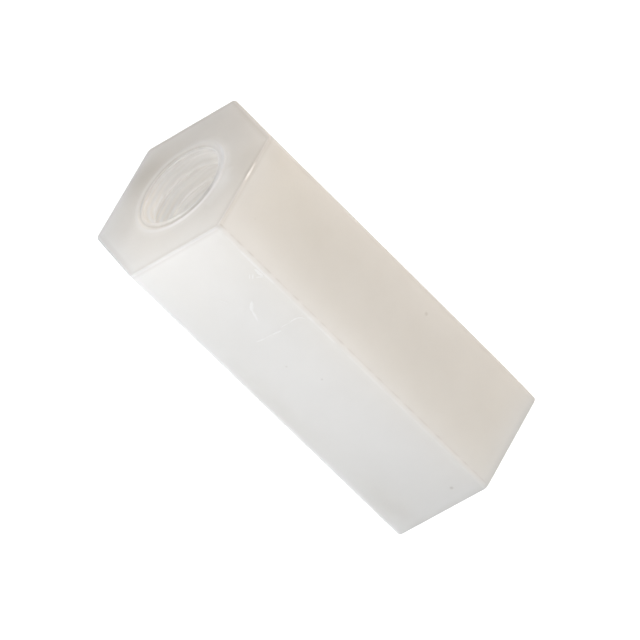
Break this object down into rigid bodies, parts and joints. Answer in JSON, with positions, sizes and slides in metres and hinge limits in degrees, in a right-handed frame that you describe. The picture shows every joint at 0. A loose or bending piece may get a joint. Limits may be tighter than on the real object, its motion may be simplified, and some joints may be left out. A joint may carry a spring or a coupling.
{
  "type": "hex standoff",
  "caption": "Short hexagonal plastic spacer post with flat ends and a threaded hole along its length, countersunk at each mouth.",
  "frame": {"origin": "centre of the lower end face", "axes": "+Z along the threaded hole towards the upper end; the hexagon's corners point along +X and every 60 degrees, so two of the flats face +Y and -Y"},
  "size_m": [0.0062, 0.0054, 0.012],
  "materials": {
    "natural_nylon": "semi-matt moulded natural nylon, milky and slightly translucent"
  },
  "bodies": {
    "root": {"hex_standoff": "natural_nylon"}
  },
  "joints": []
}
